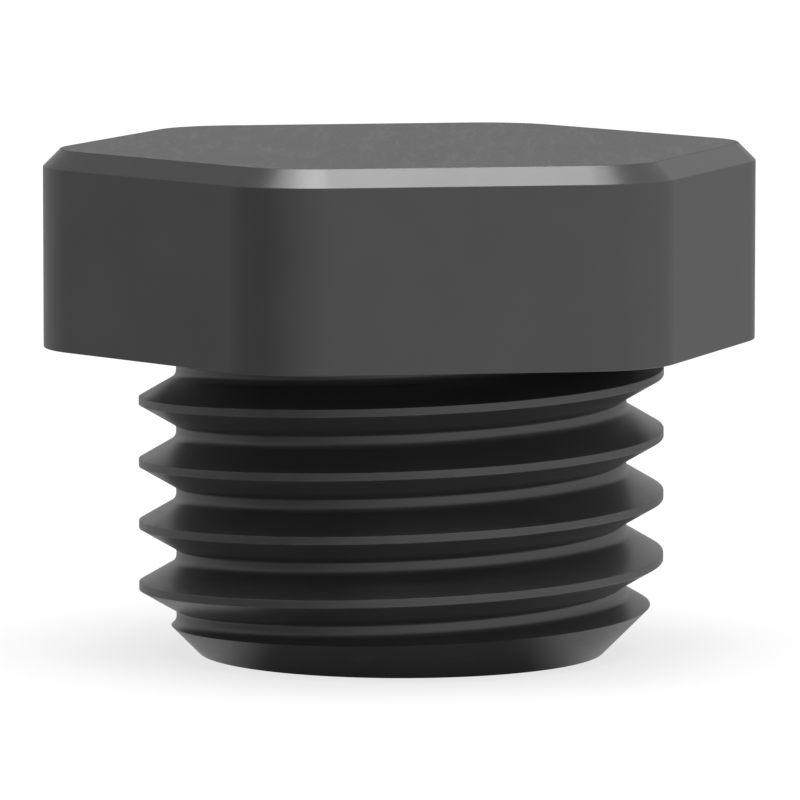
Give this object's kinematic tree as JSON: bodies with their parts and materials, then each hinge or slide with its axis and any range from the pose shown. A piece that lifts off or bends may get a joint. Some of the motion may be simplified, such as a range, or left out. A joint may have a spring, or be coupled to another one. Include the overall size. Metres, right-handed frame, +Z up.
{
  "type": "hex head screw plug",
  "caption": "Solid plastic screw plug with a bevelled hex head and a coarse right-hand thread, which closes a threaded port of a waste container's cap.",
  "frame": {"origin": "on the thread's axis, in the plane of the head's underside, which is where the plug seats", "axes": "+Z up, along the thread's axis from its free end to the head; +X through two opposite corners of the head; two of the head's flats face +Y and -Y"},
  "size_m": [0.0406, 0.0366, 0.0286],
  "materials": {
    "plastic": "matt to satin, as moulded"
  },
  "bodies": {
    "root": {"screw_plug": "plastic"}
  },
  "joints": []
}
